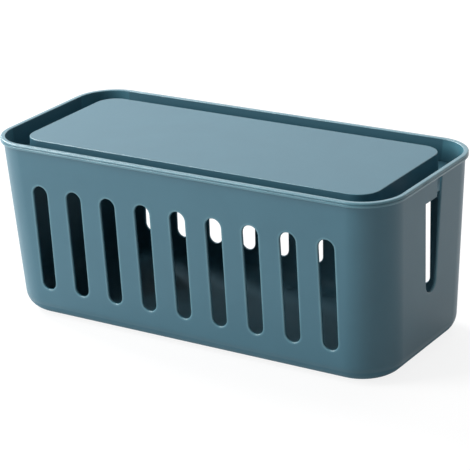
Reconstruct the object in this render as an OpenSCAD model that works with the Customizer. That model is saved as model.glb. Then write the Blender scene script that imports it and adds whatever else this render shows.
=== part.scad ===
// Cable management box: an open-topped moulded tub with vent slots in both
// long walls and a cable opening in the right-hand end, a drop-in lid with a raised
// panel, and four grip pads under the floor.
// Millimetres. The origin is on the table under the middle of the box,
// +X runs along the box, -Y is the front and +Z is up.

/* [Tub] */
// Length over the rim, end to end
rim_length = 320; // [260:1:400]
// Width over the rim, front to back
rim_width = 140; // [120:1:180]
// Height from the table to the top of the rim
box_height = 131; // [115:1:160]
// Thickness of the walls below the lid ledge
wall = 2.2; // [1.6:0.1:3]
// Thickness of the floor
floor_thickness = 2.6; // [2:0.1:4]
// Corner radius of the rim, seen from above
rim_corner_radius = 30; // [24:1:40]
// Corner radius of the walls at the base, seen from above
base_corner_radius = 30; // [24:1:40]
// How far each end wall leans in from rim to base
end_lean = 5.8; // [2:0.1:9]
// How far each long wall leans in from rim to base
side_lean = 4; // [2:0.1:7]
// Radius of the rounded edge between the walls and the floor
base_edge_radius = 13; // [8:0.5:16]

/* [Rim] */
// How far the rim stands out from the walls
rim_overhang = 2; // [1.2:0.1:3]
// Width of the rim's top, from its outer to its inner face
rim_land = 3.6; // [3.2:0.1:5]
// Height of the whole rim band
rim_band = 3.6; // [3:0.1:5]
// Height of the upper bead, above the groove around the rim
rim_bead = 1.2; // [1.2:0.1:2]
// Depth and height of the groove between the rim's two beads
rim_groove = 0.5; // [0.3:0.1:0.8]
// Radius of the rim's rolled outer top edge
rim_roll_radius = 1; // [0.5:0.1:1.1]
// Radius of the rim's inner top edge
rim_edge_radius = 0.6; // [0.3:0.1:0.7]

/* [Lid ledge] */
// Depth of the ledge's top below the top of the rim
ledge_depth = 18.3; // [16:0.1:22]
// How far the ledge stands in from the upper wall
ledge_width = 2.6; // [2:0.1:4]
// Height of the ledge's upright face
ledge_face = 1.2; // [0.8:0.1:2]

/* [Vent slots] */
// Number of slots in each long wall
vent_count = 9; // [5:1:9]
// Distance from the end of the rim to the middle of the first slot
vent_from_end = 44.8; // [42:0.1:80]
// Height of the slots' lower ends above the table
vent_bottom = 23.4; // [18:0.1:30]
// Depth of the slots' upper ends below the top of the rim
vent_drop = 29.4; // [27:0.1:50]
// Width of a slot near its upper end
vent_width_top = 12.2; // [8:0.1:14]
// Width of a slot near its lower end
vent_width_bottom = 11.3; // [8:0.1:14]

/* [Cable opening] */
// Height of the opening's lower end above the table
opening_bottom = 47; // [30:0.5:60]
// Width of the opening at its lower end
opening_width_bottom = 14.4; // [12:0.1:20]
// Width of the opening at its upper end
opening_width_top = 22.2; // [20:0.1:28]
// How far the middle of the opening lies behind the middle of the wall
opening_offset = 1.9; // [-4:0.1:4]
// Width of the neck left open beside the keeper tab
neck_width = 6.2; // [5:0.1:8]
// Depth of the keeper tab's lower edge below the top of the rim
tab_depth = 18; // [14:0.1:24]
// Wall left between the opening and the underside of the rim
opening_margin = 1; // [0.6:0.1:3]

/* [Lid] */
// Width of the channel between the rim and the panel at each end
channel_ends = 16.7; // [12:0.1:40]
// Width of the channel between the rim and the panel at each side
channel_sides = 14; // [11:0.1:26]
// Corner radius of the raised panel
panel_corner_radius = 15; // [8:0.5:24]
// How far the panel's sides lean out from top to flange
panel_lean = 0.6; // [0.2:0.1:2]
// Radius of the panel's rounded top edge
panel_edge_radius = 0.5; // [0.3:0.1:2]
// Depth of the panel's top below the top of the rim
panel_drop = 1.2; // [0:0.1:4]
// Thickness of the lid's panel and sides
lid_wall = 2; // [1.6:0.1:3]
// Thickness of the flange that rests on the ledge
flange_thickness = 2; // [1.6:0.1:3]
// Gap all round between the flange and the tub's wall
lid_clearance = 0.5; // [0.3:0.1:1]
// Gap between the flange and the ledge
seat_clearance = 0.3; // [0.2:0.05:0.5]

/* [Grip pads] */
// Diameter of a pad
pad_diameter = 14; // [10:0.5:20]
// How far the pads stand out below the floor
pad_stand_out = 0.8; // [0.5:0.1:2]
// Depth of the pocket that a pad sits in
pad_pocket = 0.8; // [0.5:0.1:1.2]
// Gap round a pad in its pocket
pad_clearance = 0.2; // [0.1:0.05:0.4]
// Distance from the end of the rim to the middle of a pad
pad_from_end = 42; // [38:1:80]
// Distance from the side of the rim to the middle of a pad
pad_from_side = 30; // [28:1:42]

/* [Hidden] */
corner_steps = 16;
fillet_steps = 6;
edge_steps = 3;
bead_steps = 6;
$fn = 64;

tub_bottom = pad_stand_out;
vent_pitch = (rim_length - 2 * vent_from_end) / (vent_count - 1);
vent_top = box_height - vent_drop;
panel_length = rim_length - 2 * (rim_land + channel_ends);
panel_width = rim_width - 2 * (rim_land + channel_sides);
pad_x = rim_length / 2 - pad_from_end;
pad_y = rim_width / 2 - pad_from_side;
rim_underside = box_height - rim_band;
groove_top = box_height - rim_bead;
lower_bead = rim_band - rim_bead - rim_groove;
wall_corner_radius = rim_corner_radius - rim_overhang;
upper_wall = rim_land - rim_overhang;
ledge_top = box_height - ledge_depth;
ledge_inset = upper_wall + ledge_width;
flange_bottom = ledge_top + seat_clearance;
flange_top = flange_bottom + flange_thickness;
panel_top = box_height - panel_drop;
opening_top = rim_underside - opening_margin;
tab_bottom = box_height - tab_depth;
tab_end = opening_width_top / 2 - neck_width;
cut_margin = 4;

// A ring is [half length, half width, corner radius, height].

// Share of the lean reached at height z: 0 at the rim's top, 1 at the base
function lean(z) = (box_height - z) / (box_height - tub_bottom);

// Ring that lies a distance inside the tub's outer wall at height z
function wall_ring(inset, z) = [
    rim_length / 2 - rim_overhang - end_lean * lean(z) - inset,
    rim_width / 2 - rim_overhang - side_lean * lean(z) - inset,
    wall_corner_radius + (base_corner_radius - wall_corner_radius) * lean(z) - inset,
    z
];

// Ring that lies a distance inside the rim's outer face at height z
function rim_ring(inset, z) =
    [rim_length / 2 - inset, rim_width / 2 - inset, rim_corner_radius - inset, z];

// Ring that lies a distance inside the raised panel's side at height z
function panel_ring(inset, z) =
    let (out = panel_lean * (panel_top - z) / (panel_top - flange_top) - inset)
    [panel_length / 2 + out, panel_width / 2 + out, panel_corner_radius + out, z];

// Points of a ring, anticlockwise, with a quarter circle at each corner
function ring_points(ring) = [
    for (corner = [0:3])
        let (
            sx = (corner == 0 || corner == 3) ? 1 : -1,
            sy = corner < 2 ? 1 : -1
        )
        for (step = [0:corner_steps])
            let (angle = 90 * (corner + step / corner_steps))
            [
                sx * (ring[0] - ring[2]) + ring[2] * cos(angle),
                sy * (ring[1] - ring[2]) + ring[2] * sin(angle),
                ring[3]
            ]
];

// Solid bounded by a stack of rings, with a flat cap on the first and the last
module loft(rings) {
    count = 4 * (corner_steps + 1);
    last = len(rings) - 1;
    polyhedron(
        points = [for (ring = rings) each ring_points(ring)],
        faces = concat(
            [[for (i = [0:count - 1]) i]],
            [
                for (k = [0:last - 1], i = [0:count - 1])
                    let (j = (i + 1) % count)
                    [k * count + i, (k + 1) * count + i, (k + 1) * count + j, k * count + j]
            ],
            [[for (i = [count - 1:-1:0]) last * count + i]]
        )
    );
}

// Rings up the outside of the rounded base edge
function base_edge_rings() = [
    for (step = [0:fillet_steps])
        let (angle = 90 - 90 * step / fillet_steps)
        wall_ring(
            base_edge_radius * (1 - cos(angle)),
            tub_bottom + base_edge_radius * (1 - sin(angle))
        )
];

// Rings over the rim: half-round lower bead, groove, and the rolled upper bead
function rim_rings() = concat(
    [wall_ring(0, rim_underside)],
    [
        for (step = [0:bead_steps])
            let (angle = 180 * step / bead_steps - 90)
            rim_ring(
                rim_groove * (1 - cos(angle)),
                rim_underside + lower_bead * (1 + sin(angle)) / 2
            )
    ],
    [rim_ring(0, groove_top)],
    [
        for (step = [0:edge_steps])
            let (angle = 90 * step / edge_steps)
            rim_ring(
                rim_roll_radius * (1 - cos(angle)),
                box_height - rim_roll_radius * (1 - sin(angle))
            )
    ],
    [
        for (step = [0:edge_steps])
            let (angle = 90 * step / edge_steps)
            rim_ring(
                rim_land - rim_edge_radius * (1 - sin(angle)),
                box_height - rim_edge_radius * (1 - cos(angle))
            )
    ]
);

// Rings down the inside: the ledge, the wall under it and the floor's edge
function inside_rings() = concat(
    [
        wall_ring(upper_wall, ledge_top),
        wall_ring(ledge_inset, ledge_top),
        wall_ring(ledge_inset, ledge_top - ledge_face),
        wall_ring(wall, ledge_top - ledge_face - (ledge_inset - wall))
    ],
    [
        for (step = [0:fillet_steps])
            let (angle = 90 * step / fillet_steps, radius = base_edge_radius - wall)
            wall_ring(
                wall + radius * (1 - cos(angle)),
                tub_bottom + floor_thickness + radius * (1 - sin(angle))
            )
    ]
);

// Slot with round ends and a slight taper, drawn upright around x = 0
module tapered_slot(bottom, top, width_bottom, width_top) {
    low = bottom + width_bottom / 2;
    high = top - width_top / 2;
    translate([0, low]) circle(d = width_bottom);
    translate([0, high]) circle(d = width_top);
    polygon([
        [-width_bottom / 2, low], [width_bottom / 2, low],
        [width_top / 2, high], [-width_top / 2, high]
    ]);
}

// One row of vent slots, cut through both long walls at once
module vent_cuts() {
    for (i = [0:vent_count - 1])
        translate([(i - (vent_count - 1) / 2) * vent_pitch, rim_width / 2, 0])
            rotate([90, 0, 0])
                linear_extrude(rim_width)
                    tapered_slot(vent_bottom, vent_top, vent_width_bottom, vent_width_top);
}

// Outline of the cable opening, drawn upright around x = 0: a tapered slot
// whose upper part is closed by the keeper tab, except for the neck
module opening_outline() {
    low = opening_bottom + opening_width_bottom / 2;
    difference() {
        union() {
            translate([0, low]) circle(d = opening_width_bottom);
            polygon([
                [-opening_width_bottom / 2, low], [opening_width_bottom / 2, low],
                [opening_width_top / 2, opening_top], [-opening_width_top / 2, opening_top]
            ]);
        }
        translate([-opening_width_top, tab_bottom])
            square([opening_width_top + tab_end, tab_depth]);
    }
}

// The cable opening through the wall and the ledge of the right-hand end
module opening_cut() {
    inner_x = wall_ring(ledge_inset, opening_bottom)[0] - cut_margin;
    translate([inner_x, opening_offset, 0])
        rotate([90, 0, 90])
            linear_extrude(rim_length / 2 - inner_x + cut_margin)
                opening_outline();
}

module at_pads(x_side, y_side) {
    translate([x_side * pad_x, y_side * pad_y, 0]) children();
}

module pad_pockets() {
    for (x_side = [-1, 1], y_side = [-1, 1])
        at_pads(x_side, y_side)
            translate([0, 0, tub_bottom - cut_margin])
                cylinder(d = pad_diameter + 2 * pad_clearance, h = cut_margin + pad_pocket);
}

module tub() {
    color([0.36, 0.5, 0.55])
        difference() {
            loft(concat(base_edge_rings(), rim_rings(), inside_rings()));
            vent_cuts();
            opening_cut();
            pad_pockets();
        }
}

// Outside of the lid: flange, then up the panel's side and over its top edge
function lid_outside_rings() = concat(
    [
        wall_ring(upper_wall + lid_clearance, flange_bottom),
        wall_ring(upper_wall + lid_clearance, flange_top),
        panel_ring(0, flange_top)
    ],
    [
        for (step = [0:edge_steps + 1])
            let (angle = 90 * step / (edge_steps + 1))
            panel_ring(
                panel_edge_radius * (1 - cos(angle)),
                panel_top - panel_edge_radius * (1 - sin(angle))
            )
    ]
);

module lid() {
    color([0.5, 0.62, 0.67])
        difference() {
            loft(lid_outside_rings());
            loft([
                panel_ring(lid_wall, flange_bottom - cut_margin),
                panel_ring(lid_wall, panel_top - lid_wall)
            ]);
        }
}

module pad(x_side, y_side) {
    color([0.13, 0.13, 0.14])
        at_pads(x_side, y_side)
            cylinder(d = pad_diameter, h = pad_stand_out + pad_pocket);
}

tub();
lid();
pad(-1, -1);  // pad_front_left
pad(1, -1);  // pad_front_right
pad(-1, 1);  // pad_back_left
pad(1, 1);  // pad_back_right
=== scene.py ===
"""Cable management box: the tub, its drop-in lid and four grip pads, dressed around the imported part."""

from collections import namedtuple
from math import cos, pi, radians, sin

import bmesh
import bpy
from mathutils import Matrix, Vector


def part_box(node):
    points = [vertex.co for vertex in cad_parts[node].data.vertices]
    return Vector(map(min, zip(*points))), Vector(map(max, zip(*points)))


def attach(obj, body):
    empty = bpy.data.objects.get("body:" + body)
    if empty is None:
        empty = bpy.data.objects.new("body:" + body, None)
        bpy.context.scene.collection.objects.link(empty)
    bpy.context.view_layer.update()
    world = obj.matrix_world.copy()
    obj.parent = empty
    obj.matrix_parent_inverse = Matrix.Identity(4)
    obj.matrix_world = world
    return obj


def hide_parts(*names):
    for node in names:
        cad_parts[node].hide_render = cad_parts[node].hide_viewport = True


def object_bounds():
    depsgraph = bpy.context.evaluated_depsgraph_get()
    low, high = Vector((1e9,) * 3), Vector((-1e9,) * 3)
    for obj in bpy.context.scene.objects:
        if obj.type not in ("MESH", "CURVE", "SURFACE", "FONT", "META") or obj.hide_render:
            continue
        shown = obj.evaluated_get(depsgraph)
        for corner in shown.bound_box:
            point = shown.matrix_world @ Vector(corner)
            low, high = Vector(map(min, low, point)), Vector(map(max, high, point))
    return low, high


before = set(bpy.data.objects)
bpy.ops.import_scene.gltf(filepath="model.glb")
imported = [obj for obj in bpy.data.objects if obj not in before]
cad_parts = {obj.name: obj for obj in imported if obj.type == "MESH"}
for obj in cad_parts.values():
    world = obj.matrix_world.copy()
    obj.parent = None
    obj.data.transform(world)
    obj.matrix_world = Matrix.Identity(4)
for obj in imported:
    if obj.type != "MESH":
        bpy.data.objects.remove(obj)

bl_info = {
    "name": "Cable management box",
    "version": (1, 0, 0),
    "blender": (4, 5, 0),
    "location": "3D Viewport > Sidebar > Cable Box",
    "description": "Models a vented cable box with a drop-in lid, and its studio",
    "category": "Object",
}

MM = 0.001
CAD_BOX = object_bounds()
TUB_LOW, TUB_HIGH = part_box("tub")
LID_LOW, LID_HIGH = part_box("lid")
PAD_NAMES = ("pad_front_left", "pad_front_right", "pad_back_left", "pad_back_right")

# Segments of the round corners and edges, and sides of a pad
CORNER_STEPS = 24
OPENING_STEPS = 16
VENT_STEPS = 14
BEAD_STEPS = 10
BASE_STEPS = 9
ROLL_STEPS = 6
EDGE_STEPS = 4
SOFT_STEPS = 3
FINE_STEPS = 2
PAD_SIDES = 64

# How near two places count as one, how near doubles merge, and the share of its normal along an
# axis from which a face counts as square to that axis
NEAR = 1e-5
MERGE = 1e-6
SQUARE_ON = 0.99

# Between which angles, in degrees, two faces meet at any corner and at one near a right angle
ANY_CORNER = (30, 150)
RIGHT_CORNER = (60, 120)

# How far a cutter stands out past the wall, and a pocket past its pad
CUTTER_PAST = 5 * MM
POCKET_FIT = 0.2 * MM

# Faces of the long walls are larger than this, and those of the beads and roundings are smaller
WALL_FACE_AREA = 100 * MM * MM

# An edge that sinks in by less than this angle still counts as raised, and a face counts as narrow
# when it is up to this many times as wide as the rounding beside it
SLIGHT_HOLLOW = radians(-8)
NARROW_SLACK = 1.1

# Below the first angle faces are shaded as one surface, and below the second they lie in one plane
SMOOTH_ANGLE = radians(32)
STRAIGHT = radians(0.5)

# A ring is a rectangle with round corners, level at its height, and has one corner in each quarter.
Ring = namedtuple("Ring", "half_length half_width radius height")
QUARTERS = ((1, 1), (-1, 1), (-1, -1), (1, -1))


def length_setting(name, description, millimetres):
    """A size that the user can change, kept in metres."""
    return bpy.props.FloatProperty(
        name=name,
        description=description,
        default=millimetres * MM,
        min=0.0,
        precision=5,
        subtype="DISTANCE",
        unit="LENGTH",
    )


def colour_setting(name, description, colour):
    """A linear colour that the user can change."""
    return bpy.props.FloatVectorProperty(
        name=name,
        description=description,
        default=colour,
        min=0.0,
        max=1.0,
        size=3,
        subtype="COLOR",
    )


class CableBoxTubSettings(bpy.types.PropertyGroup):
    """Sizes of the tub that its box alone doesn't give."""

    wall: length_setting("Wall", "Thickness of the walls below the ledge", 2.2)
    floor: length_setting("Floor", "Thickness of the floor", 2.6)
    rim_radius: length_setting("Rim radius", "Corner radius of the rim from above", 30)
    base_radius: length_setting("Base radius", "Corner radius of the walls at the base", 30)
    end_lean: length_setting("End lean", "How far each end wall leans in at the base", 5.8)
    side_lean: length_setting("Side lean", "How far each long wall leans in at the base", 4)
    base_edge: length_setting("Base edge", "Size of the rounded edge round the floor", 13)
    overhang: length_setting("Overhang", "How far the rim stands out from the walls", 2)
    rim_land: length_setting("Rim land", "Width of the rim's top", 3.6)
    rim_band: length_setting("Rim band", "Height of the rim", 3.6)
    rim_bead: length_setting("Rim bead", "Height of the rim's upper bead", 1.2)
    rim_groove: length_setting("Rim groove", "Depth and height of the groove between the beads", 0.5)
    rim_edge: length_setting("Rim edge", "Radius of the rim's inner top edge", 0.6)
    rim_roll: length_setting("Rim roll", "Radius of the rim's outer top edge", 1)
    groove_edge: length_setting("Groove edge", "Rounding of the upper bead's lower edge", 0.15)
    ledge_depth: length_setting("Ledge depth", "Drop from the rim to the lid's ledge", 18.3)
    ledge_width: length_setting("Ledge width", "How far the ledge stands in from the wall", 2.6)
    ledge_face: length_setting("Ledge face", "Height of the ledge's upright face", 1.2)
    soft_edge: length_setting("Soft edge", "Rounding of the ledge's edges", 0.5)
    cut_edge: length_setting("Cut edge", "Rounding of the slots' outer edges", 0.9)
    cut_edge_inside: length_setting("Cut edge, inside", "Rounding of the slots' inner edges", 1)
    # Width of the band round each vent over which the painted edge highlight fades out
    highlight_band: length_setting("Highlight band", "How far a vent's painted edge highlight reaches over the wall", 1.1)


class CableBoxOpeningSettings(bpy.types.PropertyGroup):
    """Sizes of the vent slots and the cable opening."""

    vent_count: bpy.props.IntProperty(
        name="Vents", description="Number of slots in each long wall", default=9, min=1, max=9
    )
    vent_pitch: length_setting("Vent pitch", "Distance from slot to slot", 28.8)
    vent_bottom: length_setting("Vent bottom", "Height of the slots' lower ends", 23.4)
    vent_top: length_setting("Vent top", "Height of the slots' upper ends", 101.6)
    vent_width_top: length_setting("Vent width, top", "Width of a slot near its top", 12.2)
    vent_width_low: length_setting("Vent width, bottom", "Width of a slot near its foot", 11.3)
    bottom: length_setting("Opening bottom", "Height of the cable opening's lower end", 47)
    top: length_setting("Opening top", "Height of the neck's upper end", 126.4)
    width_low: length_setting("Opening width, bottom", "Width of the opening at its foot", 14.4)
    width_top: length_setting("Opening width, top", "Width of the opening at its top", 22.2)
    offset: length_setting("Opening offset", "How far its middle lies behind the wall's middle", 1.9)
    neck: length_setting("Neck", "Width left open beside the keeper tab", 6.2)
    tab_depth: length_setting("Tab depth", "Drop from the rim to the keeper tab's edge", 18)


class CableBoxLidSettings(bpy.types.PropertyGroup):
    """Sizes of the lid that its box alone doesn't give."""

    channel_ends: length_setting("End channel", "Channel from the rim to the panel's ends", 16.7)
    channel_sides: length_setting("Side channel", "Channel from the rim to the panel's sides", 14)
    radius: length_setting("Panel radius", "Corner radius of the raised panel", 15)
    lean: length_setting("Panel lean", "How far the panel's sides lean out", 0.6)
    top_edge: length_setting("Top edge", "Radius of the panel's rounded top edge", 0.5)
    wall: length_setting("Lid wall", "Thickness of the panel and its sides", 2)
    flange: length_setting("Flange", "Thickness of the flange on the ledge", 2)
    clearance: length_setting("Clearance", "Gap between the flange and the tub's wall", 0.5)
    foot: length_setting("Foot", "Fillet between the panel's side and the flange", 0.8)
    soft_edge: length_setting("Soft edge", "Rounding of the flange's edges", 0.3)


class CableBoxFinishSettings(bpy.types.PropertyGroup):
    """Colours and surface of the plastic and the pads."""

    plastic: colour_setting("Plastic", "Colour of the moulded plastic", (0.043, 0.1385, 0.189))
    plastic_deep: colour_setting("Plastic, deep", "Its slightly deeper tone", (0.0395, 0.13, 0.179))
    # Painted highlight: the lighter tone that the marked edges take, standing in for light catching them
    plastic_rubbed: colour_setting("Plastic, edge highlight", "Its painted highlight on edges", (0.068, 0.205, 0.26))
    # Painted shade: the darker tone that the channel's faces take, standing in for the shade down round the
    # lid
    plastic_recess: colour_setting("Plastic, painted shade", "Its painted shade in the channel", (0.034, 0.112, 0.152))
    rubber: colour_setting("Rubber", "Colour of the grip pads", (0.02, 0.02, 0.022))
    rubber_worn: colour_setting("Rubber, worn", "Their dusty tone", (0.045, 0.045, 0.047))
    roughness: bpy.props.FloatProperty(
        name="Roughness",
        description="Roughness of the moulded plastic",
        default=0.42,
        min=0.0,
        max=1.0,
        subtype="FACTOR",
    )


class CableBoxStageSettings(bpy.types.PropertyGroup):
    """The camera's place, turn and lens."""

    azimuth: bpy.props.FloatProperty(
        name="Azimuth", description="Camera's turn from the front", default=radians(33.65), subtype="ANGLE"
    )
    elevation: bpy.props.FloatProperty(
        name="Elevation", description="Camera's height angle", default=radians(21.2), subtype="ANGLE"
    )
    roll: bpy.props.FloatProperty(
        name="Roll", description="Camera's tilt about its own axis", default=radians(-2.79), subtype="ANGLE"
    )
    distance: length_setting("Distance", "Camera's distance from its target", 1448.6)
    lens: bpy.props.FloatProperty(
        name="Lens", description="Focal length on a 36 mm sensor", default=158.92, min=1.0, unit="CAMERA"
    )


# ---------------------------------------------------------------------------
# Modelling by hand: selections, rings and edges


def settings():
    return bpy.context.scene.cable_box


def enter_edit(piece, select="VERT"):
    """Opens one piece alone in edit mode, with nothing on it selected."""
    bpy.ops.object.select_all(action="DESELECT")
    bpy.context.view_layer.objects.active = piece
    piece.select_set(True)
    bpy.ops.object.mode_set(mode="EDIT")
    bpy.ops.mesh.select_mode(type=select)
    bpy.ops.mesh.select_all(action="DESELECT")


def leave_edit():
    bpy.ops.object.mode_set(mode="OBJECT")


def select_where(piece, kind, test):
    """Selects the verts, edges or faces of the open piece that pass the test, and says how many."""
    bpy.ops.mesh.select_mode(type=kind)
    bpy.ops.mesh.select_all(action="DESELECT")
    cage = bmesh.from_edit_mesh(piece.data)
    cage.normal_update()
    items = {"VERT": cage.verts, "EDGE": cage.edges, "FACE": cage.faces}[kind]
    count = 0
    for item in items:
        if test(item):
            item.select_set(True)
            count += 1
    cage.select_flush_mode()
    bmesh.update_edit_mesh(piece.data)
    return count


def add_plane(name, location, half_width, half_height, turn=(0, 0, 0)):
    """A rectangle of that half size, with its place in its mesh."""
    bpy.ops.object.select_all(action="DESELECT")
    bpy.ops.mesh.primitive_plane_add(size=2)
    plane = bpy.context.object
    plane.name = plane.data.name = name
    plane.scale = (half_width, half_height, 1)
    plane.rotation_euler = turn
    plane.location = location
    bpy.ops.object.transform_apply(location=True, rotation=True, scale=True)
    return plane


def start_ring(name, ring):
    """A flat sheet with round corners, left open in edit mode with its one face selected."""
    sheet = add_plane(name, (0, 0, ring.height), ring.half_length, ring.half_width)
    enter_edit(sheet)
    bpy.ops.mesh.select_all(action="SELECT")
    bpy.ops.mesh.bevel(
        offset=ring.radius, segments=CORNER_STEPS, profile=0.5, affect="VERTICES", clamp_overlap=False
    )
    bpy.ops.mesh.select_all(action="SELECT")
    return sheet


def fit_corners(piece, old, new):
    """Moves the selected ring's four corners and changes their radius, from ring old to ring new."""
    cage = bmesh.from_edit_mesh(piece.data)
    chosen = [v.index for v in cage.verts if v.select]
    factor = new.radius / old.radius
    centre_old = (old.half_length - old.radius, old.half_width - old.radius)
    centre_new = (new.half_length - new.radius, new.half_width - new.radius)
    step = (centre_new[0] - centre_old[0], centre_new[1] - centre_old[1])
    for side_x, side_y in QUARTERS:
        bpy.ops.mesh.select_all(action="DESELECT")
        cage = bmesh.from_edit_mesh(piece.data)
        cage.verts.ensure_lookup_table()
        for index in chosen:
            vert = cage.verts[index]
            if vert.co.x * side_x > 0 and vert.co.y * side_y > 0:
                vert.select_set(True)
        pivot = (side_x * centre_old[0], side_y * centre_old[1], new.height)
        if abs(factor - 1) > NEAR:
            bpy.ops.transform.resize(value=(factor, factor, 1), center_override=pivot)
        if max(abs(step[0]), abs(step[1])) > NEAR * MM:
            bpy.ops.transform.translate(value=(side_x * step[0], side_y * step[1], 0))
    bpy.ops.mesh.select_all(action="DESELECT")
    cage = bmesh.from_edit_mesh(piece.data)
    cage.verts.ensure_lookup_table()
    for index in chosen:
        cage.verts[index].select_set(True)
    cage.select_flush_mode()
    bmesh.update_edit_mesh(piece.data)


def draw_rings(piece, rings):
    """Extrudes the selected face from the first ring through all the others."""
    bpy.ops.mesh.select_mode(type="VERT")
    for old, new in zip(rings, rings[1:]):
        rise = new.height - old.height
        bpy.ops.mesh.extrude_region_move(TRANSFORM_OT_translate={"value": (0, 0, rise)})
        fit_corners(piece, old, new)


def select_cap(piece, height, up):
    """Selects the level faces at one height that face up, for 1, or down, for -1."""
    return select_where(
        piece,
        "FACE",
        lambda f: abs(f.calc_center_median().z - height) < NEAR and f.normal.z * up > SQUARE_ON,
    )


def recalculate(piece):
    """Merges doubles and turns all faces outward."""
    bpy.ops.mesh.select_mode(type="VERT")
    bpy.ops.mesh.select_all(action="SELECT")
    bpy.ops.mesh.remove_doubles(threshold=MERGE)
    bpy.ops.mesh.normals_make_consistent(inside=False)
    bpy.ops.mesh.select_all(action="DESELECT")


def is_corner(edge, low, high):
    """True for an edge whose faces meet at an angle between the two, in degrees."""
    if len(edge.link_faces) != 2:
        return False
    return radians(low) < edge.calc_face_angle(0) < radians(high)


def mid_point(edge):
    return (edge.verts[0].co + edge.verts[1].co) / 2


def round_ring(piece, height, width, segments, test):
    """Rounds the level edges at one height that pass the test."""

    def is_level_corner(edge):
        return all(abs(v.co.z - height) < NEAR for v in edge.verts) and is_corner(edge, *ANY_CORNER)

    if not select_where(piece, "EDGE", lambda e: is_level_corner(e) and test(e)):
        raise RuntimeError(f"{piece.name}: no edges to round at height {height:.4f}")
    bpy.ops.mesh.bevel(offset=width, segments=segments, profile=0.5, clamp_overlap=False)


def cut(piece, cutter):
    """Takes the cutter's volume out of the piece and removes the cutter."""
    bpy.ops.object.select_all(action="DESELECT")
    bpy.context.view_layer.objects.active = piece
    piece.select_set(True)
    boolean = piece.modifiers.new("cut", "BOOLEAN")
    boolean.operation = "DIFFERENCE"
    boolean.solver = "EXACT"
    boolean.object = cutter
    bpy.ops.object.modifier_apply(modifier=boolean.name)
    bpy.data.objects.remove(cutter)


def mark_highlight_edges(piece, widest):
    """Marks the convex points that lie only on narrow faces, where a painted highlight lightens the edge.

    The widest such face is given for a place, because a whole rim takes the painted highlight and a flat
    wall does not.
    """

    def is_narrow(face, limit):
        return face.calc_area() < limit * max(edge.calc_length() for edge in face.edges)

    cage = bmesh.new()
    cage.from_mesh(piece.data)
    layer = cage.verts.layers.float.new("edge_highlight")
    for vert in cage.verts:
        limit = widest(vert.co)
        raised = all(edge.calc_face_angle_signed(0) > SLIGHT_HOLLOW for edge in vert.link_edges)
        vert[layer] = float(raised and all(is_narrow(face, limit) for face in vert.link_faces))
    cage.to_mesh(piece.data)
    cage.free()


def mark_faces(piece, name, test):
    """Marks the faces whose middle passes the test, under a name that the material reads."""
    cage = bmesh.new()
    cage.from_mesh(piece.data)
    layer = cage.faces.layers.float.new(name)
    for face in cage.faces:
        face[layer] = float(test(face.calc_center_median()))
    cage.to_mesh(piece.data)
    cage.free()


def within(point, ring):
    """True for a point nearer the middle than a ring with round corners, seen from above."""
    past_x = max(abs(point.x) - (ring.half_length - ring.radius), 0)
    past_y = max(abs(point.y) - (ring.half_width - ring.radius), 0)
    return Vector((past_x, past_y)).length < ring.radius


def finish_shading(piece):
    """Shades the piece smooth, with flat faces kept flat beside their rounded edges."""
    bpy.ops.object.select_all(action="DESELECT")
    bpy.context.view_layer.objects.active = piece
    piece.select_set(True)
    bpy.ops.object.shade_smooth_by_angle(angle=SMOOTH_ANGLE)
    weighted = piece.modifiers.new("weighted", "WEIGHTED_NORMAL")
    weighted.keep_sharp = True
    weighted.weight = 100
    bpy.ops.object.modifier_apply(modifier=weighted.name)


# ---------------------------------------------------------------------------
# Tub


def lean(height):
    """Share of the walls' lean at a height: 0 at the rim's top, 1 at the base."""
    return (TUB_HIGH.z - height) / (TUB_HIGH.z - TUB_LOW.z)


def wall_ring(inset, height):
    """Ring that lies a distance inside the tub's outer wall."""
    tub = settings().tub
    share = lean(height)
    radius_top = tub.rim_radius - tub.overhang
    return Ring(
        TUB_HIGH.x - tub.overhang - tub.end_lean * share - inset,
        TUB_HIGH.y - tub.overhang - tub.side_lean * share - inset,
        radius_top + (tub.base_radius - radius_top) * share - inset,
        height,
    )


def rim_ring(inset, height):
    """Ring that lies a distance inside the rim's outer face."""
    tub = settings().tub
    return Ring(TUB_HIGH.x - inset, TUB_HIGH.y - inset, tub.rim_radius - inset, height)


def outer_rings():
    """Rings down the outside of the tub, over the rim's upper and half-round lower bead to the base."""
    tub = settings().tub
    top = TUB_HIGH.z
    underside = top - tub.rim_band
    lower_bead = tub.rim_band - tub.rim_bead - tub.rim_groove

    def bead_ring(turn):
        return rim_ring(tub.rim_groove * (1 - sin(turn)), underside + lower_bead * (1 + cos(turn)) / 2)

    return [
        rim_ring(0, top),
        rim_ring(0, top - tub.rim_bead),
        *(bead_ring(pi * step / BEAD_STEPS) for step in range(BEAD_STEPS + 1)),
        wall_ring(0, underside),
        wall_ring(0, TUB_LOW.z),
    ]


def inner_rings():
    """Rings down the inside of the tub, from the rim's top to the floor."""
    tub = settings().tub
    upper_wall = tub.rim_land - tub.overhang
    ledge_inset = upper_wall + tub.ledge_width
    ledge_top = TUB_HIGH.z - tub.ledge_depth
    face_foot = ledge_top - tub.ledge_face
    return [
        rim_ring(0, TUB_HIGH.z),
        rim_ring(tub.rim_land, TUB_HIGH.z),
        wall_ring(upper_wall, ledge_top),
        wall_ring(ledge_inset, ledge_top),
        wall_ring(ledge_inset, face_foot),
        wall_ring(tub.wall, face_foot - (ledge_inset - tub.wall)),
        wall_ring(tub.wall, TUB_LOW.z + tub.floor),
    ]


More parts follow.
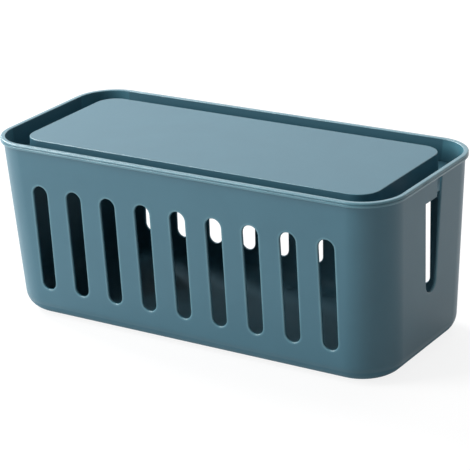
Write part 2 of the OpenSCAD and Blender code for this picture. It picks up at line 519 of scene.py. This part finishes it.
def mould_shell():
    """The tub's shell without its openings: outside, rim, ledge and inside."""
    tub = settings().tub
    outside = outer_rings()
    inside = inner_rings()
    shell = start_ring("tub_moulding", outside[0])
    draw_rings(shell, outside)
    recalculate(shell)
    if select_cap(shell, TUB_HIGH.z, 1) != 1:
        raise RuntimeError("the tub's top face wasn't found")
    draw_rings(shell, inside)
    recalculate(shell)
    round_ring(shell, TUB_LOW.z + tub.floor, tub.base_edge - tub.wall, BASE_STEPS, lambda e: True)
    round_ring(shell, TUB_LOW.z, tub.base_edge, BASE_STEPS, lambda e: True)
    middle = rim_ring(tub.rim_land / 2, TUB_HIGH.z)
    round_ring(shell, TUB_HIGH.z, tub.rim_roll, ROLL_STEPS, lambda e: not within(mid_point(e), middle))
    round_ring(shell, TUB_HIGH.z, tub.rim_edge, EDGE_STEPS, lambda e: within(mid_point(e), middle))
    round_ring(shell, TUB_HIGH.z - tub.rim_bead, tub.groove_edge, FINE_STEPS, lambda e: e.is_convex)
    ledge_top = TUB_HIGH.z - tub.ledge_depth
    for height in (ledge_top, ledge_top - tub.ledge_face):
        round_ring(shell, height, tub.soft_edge, FINE_STEPS, lambda e: e.is_convex)
    recalculate(shell)
    leave_edit()
    return shell


def round_ends(piece, at_height, radius, segments):
    """Rounds the two corners of a flat slot outline that lie at one height."""
    select_where(piece, "VERT", lambda v: abs(v.co.z - at_height) < NEAR)
    bpy.ops.mesh.bevel(
        offset=radius, segments=segments, profile=0.5, affect="VERTICES", clamp_overlap=False
    )
    bpy.ops.mesh.select_mode(type="VERT")
    bpy.ops.mesh.select_all(action="SELECT")
    bpy.ops.mesh.remove_doubles(threshold=MERGE)


def vent_cutter():
    """A row of upright slots that reaches through both long walls."""
    openings = settings().openings
    half_height = (openings.vent_top - openings.vent_bottom) / 2
    first_x = -(openings.vent_count - 1) / 2 * openings.vent_pitch
    reach = TUB_HIGH.y + CUTTER_PAST
    cutter = add_plane(
        "vent_cutter",
        (first_x, reach, openings.vent_bottom + half_height),
        openings.vent_width_low / 2,
        half_height,
        (pi / 2, 0, 0),
    )
    enter_edit(cutter)
    select_where(cutter, "VERT", lambda v: v.co.z > openings.vent_bottom + half_height)
    widen = openings.vent_width_top / openings.vent_width_low
    bpy.ops.transform.resize(value=(widen, 1, 1), center_override=(first_x, reach, openings.vent_top))
    round_ends(cutter, openings.vent_top, openings.vent_width_top / 2 - NEAR, VENT_STEPS)
    round_ends(cutter, openings.vent_bottom, openings.vent_width_low / 2 - NEAR, VENT_STEPS)
    bpy.ops.mesh.select_all(action="SELECT")
    bpy.ops.mesh.extrude_region_move(TRANSFORM_OT_translate={"value": (0, -2 * reach, 0)})
    recalculate(cutter)
    leave_edit()
    row = cutter.modifiers.new("row", "ARRAY")
    row.count = openings.vent_count
    row.use_relative_offset = False
    row.use_constant_offset = True
    row.constant_offset_displace = (openings.vent_pitch, 0, 0)
    bpy.ops.object.modifier_apply(modifier=row.name)
    return cutter


def opening_cutter():
    """The cable opening's outline, with its keeper tab left standing, drawn through the right end."""
    openings = settings().openings
    reach = TUB_HIGH.x + CUTTER_PAST
    half_height = (openings.top - openings.bottom) / 2
    slope = (openings.width_top - openings.width_low) / 2 / (openings.top - openings.bottom)
    foot = openings.width_low / 2 - slope * openings.width_low / 2
    cutter = add_plane(
        "opening_cutter",
        (reach, openings.offset, openings.bottom + half_height),
        foot,
        half_height,
        (pi / 2, 0, pi / 2),
    )
    enter_edit(cutter)
    select_where(cutter, "VERT", lambda v: v.co.z > openings.bottom + half_height)
    widen = openings.width_top / 2 / foot
    bpy.ops.transform.resize(value=(1, widen, 1), center_override=(reach, openings.offset, openings.top))
    round_ends(cutter, openings.bottom, foot - NEAR, OPENING_STEPS)
    tab_foot = TUB_HIGH.z - openings.tab_depth
    tab_end = openings.offset + openings.width_top / 2 - openings.neck
    for plane_co, plane_no in (((0, 0, tab_foot), (0, 0, 1)), ((0, tab_end, 0), (0, 1, 0))):
        bpy.ops.mesh.select_all(action="SELECT")
        bpy.ops.mesh.bisect(plane_co=plane_co, plane_no=plane_no)
    select_where(
        cutter,
        "FACE",
        lambda f: f.calc_center_median().z > tab_foot and f.calc_center_median().y < tab_end,
    )
    bpy.ops.mesh.delete(type="FACE")
    bpy.ops.mesh.select_all(action="SELECT")
    bpy.ops.mesh.dissolve_limited(angle_limit=STRAIGHT)
    bpy.ops.mesh.select_all(action="SELECT")
    bpy.ops.mesh.extrude_region_move(TRANSFORM_OT_translate={"value": (-reach, 0, 0)})
    recalculate(cutter)
    leave_edit()
    return cutter


def add_disc(name, low, high, margin=0):
    """A round disc that fills the box between two corners, wider by a margin all round."""
    bpy.ops.object.select_all(action="DESELECT")
    bpy.ops.mesh.primitive_cylinder_add(
        vertices=PAD_SIDES,
        radius=(high.x - low.x) / 2 + margin,
        depth=high.z - low.z,
        location=(low + high) / 2,
    )
    disc = bpy.context.object
    disc.name = disc.data.name = name
    bpy.ops.object.transform_apply(location=True, rotation=True, scale=True)
    return disc


def pocket_cutter(name):
    """The shallow pocket in which one grip pad sits, drawn from below the table up."""
    low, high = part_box(name)
    return add_disc("pocket_cutter", Vector((low.x, low.y, -high.z)), high, POCKET_FIT)


def is_behind_wall(place):
    """True for a place on the tub's inner side, past the middle of its wall."""
    return within(place, wall_ring(settings().tub.wall / 2, place.z))


def is_at_end(place):
    """True for a place by the cable opening, in an end wall, and False for one in a long wall."""
    return abs(place.y) < settings().openings.width_top


def soften_openings(shell):
    """Rounds the edges that the slots and the opening cut in the walls, outside and inside."""
    tub = settings().tub
    openings = settings().openings
    rim_underside = TUB_HIGH.z - tub.rim_band
    ledge_foot = TUB_HIGH.z - tub.ledge_depth - 2 * tub.ledge_width - tub.ledge_face
    lowest = min(openings.vent_bottom, openings.bottom) - NEAR

    def is_cut_edge(edge, outside):
        if not is_corner(edge, *RIGHT_CORNER) or not edge.is_convex:
            return False
        middle = mid_point(edge)
        if middle.z < lowest or middle.z > (rim_underside if outside else ledge_foot) - NEAR:
            return False
        if is_behind_wall(middle) == outside:
            return False
        across = 0 if is_at_end(middle) else 1
        return sum(abs(face.normal[across]) > SQUARE_ON for face in edge.link_faces) == 1

    for outside, radius in ((True, tub.cut_edge), (False, tub.cut_edge_inside)):
        if not select_where(shell, "EDGE", lambda e: is_cut_edge(e, outside)):
            raise RuntimeError("no cut edges were found on the tub")
        bpy.ops.mesh.bevel(offset=radius, segments=EDGE_STEPS, profile=0.5, clamp_overlap=False)


def draw_vent_bands(shell):
    """Draws a narrow band round each slot on the outside, over which its painted edge highlight fades out.

    The first facets of the round corners count as wall, or the last slots' bands would meet its border.
    """

    def is_long_wall(face):
        large = face.calc_area() > WALL_FACE_AREA and abs(face.normal.y) > SQUARE_ON
        return large and not is_behind_wall(face.calc_center_median())

    if not select_where(shell, "FACE", is_long_wall):
        raise RuntimeError("the tub's long walls weren't found")
    bpy.ops.mesh.inset(thickness=settings().tub.highlight_band)


def mark_tub(shell):
    """Marks the tub's edges that take a painted highlight, its matt inside, and the wall of the channel
    round the lid, which takes a painted shade.
    """
    tub = settings().tub
    openings = settings().openings
    rim_foot = TUB_HIGH.z - tub.rim_band
    channel_top = TUB_HIGH.z - tub.rim_edge
    ledge_top = TUB_HIGH.z - tub.ledge_depth
    vents_foot = openings.vent_bottom - tub.cut_edge - tub.highlight_band
    vents_length = (openings.vent_count - 1) * openings.vent_pitch + openings.vent_width_top
    vents_end = vents_length / 2 + tub.cut_edge + NEAR

    def is_by_opening(place):
        return is_at_end(place) or place.z > vents_foot and abs(place.x) < vents_end

    def widest_highlight(place):
        if place.z > rim_foot:
            return tub.rim_land
        if is_behind_wall(place) or not is_by_opening(place):
            return 0
        return NARROW_SLACK * max(tub.cut_edge, tub.highlight_band)

    # Painted highlight: the rim's beads and the edges round the vents and the opening are marked for a
    # lighter tone
    mark_highlight_edges(shell, widest_highlight)
    mark_faces(shell, "inside", lambda p: p.z < ledge_top - NEAR and is_behind_wall(p))
    # Painted shade: the channel's wall round the lid is marked for a darker tone
    mark_faces(shell, "painted_shade", lambda p: ledge_top < p.z < channel_top and is_behind_wall(p))


def mould_tub():
    """The tub: its shell, cut by the slots, the opening and the pads' pockets, with soft edges."""
    shell = mould_shell()
    cut(shell, vent_cutter())
    cut(shell, opening_cutter())
    for name in PAD_NAMES:
        cut(shell, pocket_cutter(name))
    enter_edit(shell, "EDGE")
    soften_openings(shell)
    draw_vent_bands(shell)
    recalculate(shell)
    leave_edit()
    mark_tub(shell)
    finish_shading(shell)
    return shell


# ---------------------------------------------------------------------------
# Lid


def panel_ring(inset, height):
    """Ring that lies a distance inside the raised panel's side."""
    lid = settings().lid
    tub = settings().tub
    flange_top = LID_LOW.z + lid.flange
    out = lid.lean * (LID_HIGH.z - height) / (LID_HIGH.z - flange_top) - inset
    return Ring(
        TUB_HIGH.x - tub.rim_land - lid.channel_ends + out,
        TUB_HIGH.y - tub.rim_land - lid.channel_sides + out,
        lid.radius + out,
        height,
    )


def mould_lid():
    """The lid: flange, raised panel and the hollow under it."""
    lid = settings().lid
    tub = settings().tub
    flange_top = LID_LOW.z + lid.flange
    flange_inset = tub.rim_land - tub.overhang + lid.clearance
    hollow_top = LID_HIGH.z - lid.wall
    above = [
        wall_ring(flange_inset, LID_LOW.z),
        wall_ring(flange_inset, flange_top),
        panel_ring(0, flange_top),
        panel_ring(0, LID_HIGH.z),
    ]
    below = [above[0], panel_ring(lid.wall, LID_LOW.z), panel_ring(lid.wall, hollow_top)]
    cover = start_ring("lid_moulding", above[0])
    draw_rings(cover, above)
    recalculate(cover)
    if select_cap(cover, LID_LOW.z, -1) != 1:
        raise RuntimeError("the lid's bottom face wasn't found")
    draw_rings(cover, below)
    recalculate(cover)
    round_ring(cover, LID_HIGH.z, lid.top_edge, ROLL_STEPS, lambda e: True)
    round_ring(cover, flange_top, lid.foot, EDGE_STEPS, lambda e: not e.is_convex)
    round_ring(cover, flange_top, lid.soft_edge, FINE_STEPS, lambda e: e.is_convex)
    round_ring(cover, LID_LOW.z, lid.soft_edge, FINE_STEPS, lambda e: e.is_convex)
    round_ring(cover, hollow_top, lid.top_edge / 2, SOFT_STEPS, lambda e: not e.is_convex)
    recalculate(cover)
    leave_edit()
    # Painted highlight: the panel's rounded top edge is marked for a lighter tone
    mark_highlight_edges(cover, lambda place: lid.top_edge)

    def is_hollow(place):
        return place.z < hollow_top + NEAR and within(place, panel_ring(lid.wall / 2, place.z))

    mark_faces(cover, "inside", is_hollow)
    # Painted shade: the panel's sides and the flange down in the channel are marked for a darker tone
    mark_faces(cover, "painted_shade", lambda p: p.z < LID_HIGH.z - lid.top_edge and not is_hollow(p))
    finish_shading(cover)
    return cover


# ---------------------------------------------------------------------------
# Grip pads


# Width and rise in millimetres of each step from a pad's rim to the middle of its face, which
# leave a ring groove and a shallow dish in it
PAD_FACE = ((1.2, 0), (0.25, 0.25), (0.9, 0), (0.25, -0.25), (1.2, 0), (0.25, 0.25))
PAD_EDGE = 0.3 * MM


def shape_pad(name):
    """A round pad with a soft edge, a ring groove and a shallow dish in its face."""
    low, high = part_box(name)
    pad = add_disc("grip_" + name, low, high)
    enter_edit(pad, "FACE")
    if select_cap(pad, low.z, -1) != 1:
        raise RuntimeError("the pad's bottom face wasn't found")
    for width, rise in PAD_FACE:
        bpy.ops.mesh.inset(thickness=width * MM, depth=-rise * MM)

    def is_rim(edge):
        return is_corner(edge, *RIGHT_CORNER) and all(v.co.z < low.z + NEAR for v in edge.verts)

    select_where(pad, "EDGE", is_rim)
    bpy.ops.mesh.bevel(offset=PAD_EDGE, segments=SOFT_STEPS, profile=0.5, clamp_overlap=False)
    recalculate(pad)
    leave_edit()
    finish_shading(pad)
    return pad


def copy_pad(first, first_name, name):
    """A copy of the first pad, with its own mesh, at another pad's place."""
    bpy.ops.object.select_all(action="DESELECT")
    bpy.context.view_layer.objects.active = first
    first.select_set(True)
    bpy.ops.object.duplicate()
    pad = bpy.context.object
    pad.name = pad.data.name = "grip_" + name
    pad.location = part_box(name)[0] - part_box(first_name)[0]
    bpy.ops.object.transform_apply(location=True, rotation=True, scale=True)
    return pad


# ---------------------------------------------------------------------------
# Materials

# The grain's height beside the waves, and what the edges with the painted highlight and a matt inside do to
# the surface's gloss
GRAIN_HEIGHT = 0.06
HIGHLIGHT_EDGE_ROUGHNESS = -0.1
INSIDE_ROUGHNESS = 0.25
HIGHLIGHT_EDGE_COAT = 0.45
COAT_ROUGHNESS = 0.25
PLASTIC_IOR = 1.49


def new_group(name, inputs, outputs):
    """An empty shader node group with named value, vector or colour sockets."""
    group = bpy.data.node_groups.new(name, "ShaderNodeTree")
    for socket, kind, default in inputs:
        made = group.interface.new_socket(socket, in_out="INPUT", socket_type=kind)
        if default is not None:
            made.default_value = default
    for socket, kind in outputs:
        group.interface.new_socket(socket, in_out="OUTPUT", socket_type=kind)
    return group


def noise(tree, vector, scale, detail, roughness=0.5):
    """Noise with that many features to a metre, read at a vector socket."""
    node = tree.nodes.new("ShaderNodeTexNoise")
    node.inputs["Scale"].default_value = scale
    node.inputs["Detail"].default_value = detail
    node.inputs["Roughness"].default_value = roughness
    tree.links.new(vector, node.inputs["Vector"])
    return node.outputs["Fac"]


def object_place(tree):
    """The surface's place on the piece, in metres."""
    return tree.nodes.new("ShaderNodeTexCoord").outputs["Object"]


def attribute(tree, name):
    """The value marked on a piece's points or faces, 0 where it has none."""
    node = tree.nodes.new("ShaderNodeAttribute")
    node.attribute_name = name
    return node.outputs["Fac"]


def calculate(tree, operation, *values):
    """A Math node's result. A value is a number or another node's socket."""
    node = tree.nodes.new("ShaderNodeMath")
    node.operation = operation
    for value, socket in zip(values, node.inputs):
        if isinstance(value, bpy.types.NodeSocket):
            tree.links.new(value, socket)
        else:
            socket.default_value = value
    return node.outputs["Value"]


def remap(tree, value, old=(0, 1), new=(0, 1)):
    """A socket's value moved from the old range to the new one, and kept within that."""
    node = tree.nodes.new("ShaderNodeMapRange")
    for name, limit in zip(("From Min", "From Max", "To Min", "To Max"), (*old, *new)):
        node.inputs[name].default_value = limit
    tree.links.new(value, node.inputs["Value"])
    return node.outputs["Result"]


def mix_colours(tree, factor, under, over):
    """Colour over laid on colour under by a factor. Under is a colour or another node's socket."""
    node = tree.nodes.new("ShaderNodeMix")
    node.data_type = "RGBA"
    node.inputs["B"].default_value = over
    if isinstance(under, bpy.types.NodeSocket):
        tree.links.new(under, node.inputs["A"])
    else:
        node.inputs["A"].default_value = under
    tree.links.new(factor, node.inputs["Factor"])
    return node.outputs["Result"]


def moulded_grain_group():
    """Fine spark-eroded grain, slow waves of a thin wall, and a soft cloudy tone."""
    group = new_group(
        "moulded_grain",
        [("Vector", "NodeSocketVector", None), ("Waves", "NodeSocketFloat", 1.0)],
        [("Height", "NodeSocketFloat"), ("Tone", "NodeSocketFloat"), ("Sheen", "NodeSocketFloat")],
    )
    enter = group.nodes.new("NodeGroupInput")
    leave = group.nodes.new("NodeGroupOutput")
    place = enter.outputs["Vector"]
    grain = noise(group, place, scale=1500, detail=2, roughness=0.6)
    waves = noise(group, place, scale=16, detail=1)
    cloud = noise(group, place, scale=38, detail=3, roughness=0.55)
    lift = calculate(group, "MULTIPLY", waves, enter.outputs["Waves"])
    height = calculate(group, "MULTIPLY_ADD", grain, GRAIN_HEIGHT, lift)
    group.links.new(height, leave.inputs["Height"])
    group.links.new(remap(group, cloud, old=(0.3, 0.7)), leave.inputs["Tone"])
    group.links.new(grain, leave.inputs["Sheen"])
    return group


def painted_edge_highlight_group():
    """Painted highlight on edges: an edge's mask, broken up into longer and shorter stretches."""
    group = new_group(
        "painted_edge_highlight",
        [("Vector", "NodeSocketVector", None), ("Edge", "NodeSocketFloat", 0.0)],
        [("Mask", "NodeSocketFloat")],
    )
    enter = group.nodes.new("NodeGroupInput")
    leave = group.nodes.new("NodeGroupOutput")
    patches = noise(group, enter.outputs["Vector"], scale=45, detail=3)
    stretch = remap(group, patches, old=(0.35, 0.65), new=(0.6, 1))
    mask = calculate(group, "MULTIPLY", stretch, enter.outputs["Edge"])
    group.links.new(mask, leave.inputs["Mask"])
    return group


def new_material(name):
    """A material with only its output and a Principled shader."""
    material = bpy.data.materials.new(name)
    material.use_nodes = True
    tree = material.node_tree
    tree.nodes.clear()
    output = tree.nodes.new("ShaderNodeOutputMaterial")
    shader = tree.nodes.new("ShaderNodeBsdfPrincipled")
    tree.links.new(shader.outputs["BSDF"], output.inputs["Surface"])
    return material, tree, shader


def place_group(tree, group, vector):
    """A group's node in a material, read at a vector socket."""
    node = tree.nodes.new("ShaderNodeGroup")
    node.node_tree = group
    tree.links.new(vector, node.inputs["Vector"])
    return node


def grained_material(name, light, deep, painted_shade, highlight, roughness, spread, waves, bump):
    """A moulded surface with a fine bump, from four tones: light, deep, a painted shade for the channel and
    a painted highlight for edges.

    It is matt inside the piece, and a little glossier along the edges with the painted highlight.
    """
    material, tree, shader = new_material(name)
    link = tree.links.new
    place = object_place(tree)
    grain = place_group(tree, bpy.data.node_groups.get("moulded_grain") or moulded_grain_group(), place)
    grain.inputs["Waves"].default_value = waves
    highlight_node = place_group(tree, bpy.data.node_groups.get("painted_edge_highlight") or painted_edge_highlight_group(), place)
    link(attribute(tree, "edge_highlight"), highlight_node.inputs["Edge"])
    highlight_mask = highlight_node.outputs["Mask"]
    tone = mix_colours(tree, grain.outputs["Tone"], (*deep, 1), (*light, 1))
    # Painted shade: a darker tone on the marked channel faces
    tone = mix_colours(tree, attribute(tree, "painted_shade"), tone, (*painted_shade, 1))
    # Painted highlight: a lighter tone on the marked edges, for the light that catches them
    link(mix_colours(tree, highlight_mask, tone, (*highlight, 1)), shader.inputs["Base Color"])
    sheen = remap(tree, grain.outputs["Sheen"], new=(roughness - spread, roughness + spread))
    sheen = calculate(tree, "MULTIPLY_ADD", highlight_mask, HIGHLIGHT_EDGE_ROUGHNESS, sheen)
    sheen = calculate(tree, "MULTIPLY_ADD", attribute(tree, "inside"), INSIDE_ROUGHNESS, sheen)
    link(sheen, shader.inputs["Roughness"])
    link(calculate(tree, "MULTIPLY", highlight_mask, HIGHLIGHT_EDGE_COAT), shader.inputs["Coat Weight"])
    shader.inputs["Coat Roughness"].default_value = COAT_ROUGHNESS
    relief = tree.nodes.new("ShaderNodeBump")
    relief.inputs["Strength"].default_value = 1.0
    relief.inputs["Distance"].default_value = bump
    link(grain.outputs["Height"], relief.inputs["Height"])
    link(relief.outputs["Normal"], shader.inputs["Normal"])
    shader.inputs["IOR"].default_value = PLASTIC_IOR
    return material


def plastic_material():
    """The blue-grey moulded plastic, made once and used by the tub and the lid."""
    finish = settings().finish
    return bpy.data.materials.get("blue_grey_plastic") or grained_material(
        "blue_grey_plastic",
        light=finish.plastic,
        deep=finish.plastic_deep,
        painted_shade=finish.plastic_recess,
        highlight=finish.plastic_rubbed,
        roughness=finish.roughness,
        spread=0.05,
        waves=1,
        bump=0.12 * MM,
    )


def rubber_material():
    """The dark rubber of the grip pads, made once."""
    finish = settings().finish
    return bpy.data.materials.get("pad_rubber") or grained_material(
        "pad_rubber",
        light=finish.rubber_worn,
        deep=finish.rubber,
        painted_shade=finish.rubber,
        highlight=finish.rubber_worn,
        roughness=0.8,
        spread=0.08,
        waves=0.2,
        bump=0.2 * MM,
    )


def dress(piece, material, body, slot, *nodes):
    """Gives a finished piece its material and its body, and hides the CAD nodes that it stands for."""
    piece.data.materials.clear()
    piece.data.materials.append(material)
    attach(piece, body)
    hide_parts(*nodes)


# ---------------------------------------------------------------------------
# Stage

CAMERA_TARGET = Vector((1.65 * MM, 0, 62.07 * MM))
SENSOR_WIDTH = 36
NEAREST, FARTHEST = 0.05, 50

# The floor reaches this far from the middle. It has two pale tones under the lamps, and a darker
# one under its own glow for the camera, so that it is white and still takes the shadow.
FLOOR_REACH = 6
FLOOR_TONES = (0.6, 0.64)
FLOOR_SEEN_TONE = 0.15
FLOOR_GLOW = 0.85
FLOOR_GLOW_IN_GLOSS = 0.5

AMBIENT_COLOUR = (0.95, 0.97, 1, 1)
AMBIENT_STRENGTH = 0.09

# Name, degrees round from the front towards the right, degrees up, and watts
LAMPS = (
    ("side_back_left", -110, 35, 48),
    ("front_left_low", -50, 20, 34),
    ("front_left_high", -50, 50, 19.3),
    ("overhead", 180, 75, 9.2),
    ("back_left", -150, 20, 1),
    ("back_right", 150, 20, 1),
)
LAMP_DISTANCE = 2.2
LAMP_SIZE = 0.9


def camera_matrix(stage):
    """The camera's place and turn, from its angles about its target."""
    a, e, roll = stage.azimuth, stage.elevation, stage.roll
    back = Vector((sin(a) * cos(e), -cos(a) * cos(e), sin(e)))
    right = Vector((cos(a), sin(a), 0))
    up = back.cross(right)
    across = right * cos(roll) + up * sin(roll)
    over = up * cos(roll) - right * sin(roll)
    turn = Matrix((across, over, back)).transposed().to_4x4()
    turn.translation = CAMERA_TARGET + back * stage.distance
    return turn


def add_camera():
    """The camera, which looks down on the front and the right-hand end."""
    stage = settings().stage
    bpy.ops.object.camera_add()
    camera = bpy.context.object
    camera.name = "camera"
    camera.matrix_world = camera_matrix(stage)
    camera.data.sensor_width = SENSOR_WIDTH
    camera.data.lens = stage.lens
    camera.data.clip_start = NEAREST
    camera.data.clip_end = FARTHEST
    bpy.context.scene.camera = camera


def seen_rays(tree, camera=1.0, gloss=1.0):
    """Strength for the rays that show the surroundings: from the camera, in gloss and through glass."""
    rays = tree.nodes.new("ShaderNodeLightPath")
    strength = calculate(tree, "MULTIPLY", rays.outputs["Is Camera Ray"], camera)
    for name in ("Is Glossy Ray", "Is Transmission Ray"):
        strength = calculate(tree, "MULTIPLY_ADD", rays.outputs[name], gloss, strength)
    return strength


def grey(level):
    return (level, level, level, 1)


def add_floor():
    """A pale floor that is white to the camera and keeps the box's soft shadow."""
    floor = add_plane("floor", (0, 0, 0), FLOOR_REACH, FLOOR_REACH)
    material, tree, shader = new_material("pale_floor")
    shader.inputs["Roughness"].default_value = 0.9
    mottle = noise(tree, object_place(tree), scale=3, detail=2)
    tone = mix_colours(tree, mottle, *(grey(level) for level in FLOOR_TONES))
    rays = tree.nodes.new("ShaderNodeLightPath")
    seen = mix_colours(tree, rays.outputs["Is Camera Ray"], tone, grey(FLOOR_SEEN_TONE))
    glow = seen_rays(tree, camera=FLOOR_GLOW, gloss=FLOOR_GLOW_IN_GLOSS)
    tree.links.new(seen, shader.inputs["Base Color"])
    shader.inputs["Emission Color"].default_value = grey(1)
    tree.links.new(glow, shader.inputs["Emission Strength"])
    floor.data.materials.append(material)


def add_world():
    """Plain pale surroundings, white to the camera."""
    world = bpy.data.worlds.new("studio")
    bpy.context.scene.world = world
    world.use_nodes = True
    tree = world.node_tree
    tree.nodes.clear()
    link = tree.links.new
    output = tree.nodes.new("ShaderNodeOutputWorld")
    ambient = tree.nodes.new("ShaderNodeBackground")
    ambient.inputs["Color"].default_value = AMBIENT_COLOUR
    ambient.inputs["Strength"].default_value = AMBIENT_STRENGTH
    white = tree.nodes.new("ShaderNodeBackground")
    white.inputs["Color"].default_value = grey(1)
    mix = tree.nodes.new("ShaderNodeMixShader")
    link(seen_rays(tree), mix.inputs["Fac"])
    link(ambient.outputs["Background"], mix.inputs[1])
    link(white.outputs["Background"], mix.inputs[2])
    link(mix.outputs["Shader"], output.inputs["Surface"])


def add_lamp(name, around, up, power):
    """A soft square lamp that points at the middle of the box."""
    middle = (CAD_BOX[0] + CAD_BOX[1]) / 2
    around, up = radians(around), radians(up)
    away = Vector((sin(around) * cos(up), -cos(around) * cos(up), sin(up)))
    bpy.ops.object.light_add(type="AREA", location=middle + away * LAMP_DISTANCE)
    lamp = bpy.context.object
    lamp.name = name
    lamp.data.size = LAMP_SIZE
    lamp.data.energy = power
    lamp.rotation_euler = (-away).to_track_quat("-Z", "Y").to_euler()


# ---------------------------------------------------------------------------
# Add-on


class CABLEBOX_OT_tub(bpy.types.Operator):
    """Mould the tub with its rim, ledge, vents and cable opening"""

    bl_idname = "cable_box.tub"
    bl_label = "Mould Tub"

    def execute(self, context):
        dress(mould_tub(), plastic_material(), "tub", "tub_plastic", "tub")
        return {"FINISHED"}


class CABLEBOX_OT_lid(bpy.types.Operator):
    """Mould the lid with its raised panel and flange"""

    bl_idname = "cable_box.lid"
    bl_label = "Mould Lid"

    def execute(self, context):
        dress(mould_lid(), plastic_material(), "lid", "lid_plastic", "lid")
        return {"FINISHED"}


class CABLEBOX_OT_pads(bpy.types.Operator):
    """Shape the four grip pads under the floor"""

    bl_idname = "cable_box.pads"
    bl_label = "Shape Grip Pads"

    def execute(self, context):
        first_name = PAD_NAMES[0]
        first = shape_pad(first_name)
        pads = [first, *(copy_pad(first, first_name, name) for name in PAD_NAMES[1:])]
        for pad, name in zip(pads, PAD_NAMES):
            dress(pad, rubber_material(), "tub", "pad_rubber", name)
        return {"FINISHED"}


class CABLEBOX_OT_stage(bpy.types.Operator):
    """Set the camera, the floor, the surroundings and the lamps"""

    bl_idname = "cable_box.stage"
    bl_label = "Set Stage"

    def execute(self, context):
        add_camera()
        add_floor()
        add_world()
        for lamp in LAMPS:
            add_lamp(*lamp)
        context.scene.view_settings.view_transform = "Standard"
        return {"FINISHED"}


class CABLEBOX_PT_panel(bpy.types.Panel):
    """Lists the box's pieces, sizes and stage"""

    bl_idname = "CABLEBOX_PT_panel"
    bl_label = "Cable Management Box"
    bl_space_type = "VIEW_3D"
    bl_region_type = "UI"
    bl_category = "Cable Box"

    def draw(self, context):
        for operator in OPERATORS:
            self.layout.operator(operator.bl_idname)
        for group in context.scene.cable_box.bl_rna.properties:
            if group.type == "POINTER" and group.identifier != "rna_type":
                self.draw_group(context.scene.cable_box, group)

    def draw_group(self, owner, group):
        box = self.layout.box()
        box.label(text=group.name)
        values = getattr(owner, group.identifier)
        for setting in values.bl_rna.properties:
            if setting.identifier not in ("rna_type", "name"):
                box.prop(values, setting.identifier)


class CableBoxSettings(bpy.types.PropertyGroup):
    """All settings of the box."""

    tub: bpy.props.PointerProperty(type=CableBoxTubSettings, name="Tub", description="Tub sizes")
    openings: bpy.props.PointerProperty(
        type=CableBoxOpeningSettings, name="Openings", description="Vent and opening sizes"
    )
    lid: bpy.props.PointerProperty(type=CableBoxLidSettings, name="Lid", description="Lid sizes")
    finish: bpy.props.PointerProperty(
        type=CableBoxFinishSettings, name="Finish", description="Colours and surface"
    )
    stage: bpy.props.PointerProperty(
        type=CableBoxStageSettings, name="Stage", description="The camera's place, turn and lens"
    )


GROUPS = (
    CableBoxTubSettings,
    CableBoxOpeningSettings,
    CableBoxLidSettings,
    CableBoxFinishSettings,
    CableBoxStageSettings,
    CableBoxSettings,
)
OPERATORS = (CABLEBOX_OT_tub, CABLEBOX_OT_lid, CABLEBOX_OT_pads, CABLEBOX_OT_stage)
CLASSES = (*GROUPS, *OPERATORS, CABLEBOX_PT_panel)


def register():
    for cls in CLASSES:
        bpy.utils.register_class(cls)
    bpy.types.Scene.cable_box = bpy.props.PointerProperty(type=CableBoxSettings)


def unregister():
    del bpy.types.Scene.cable_box
    for cls in reversed(CLASSES):
        bpy.utils.unregister_class(cls)


def main():
    register()
    bpy.ops.cable_box.tub()
    bpy.ops.cable_box.lid()
    bpy.ops.cable_box.pads()
    bpy.ops.cable_box.stage()


if __name__ == "__main__":
    main()
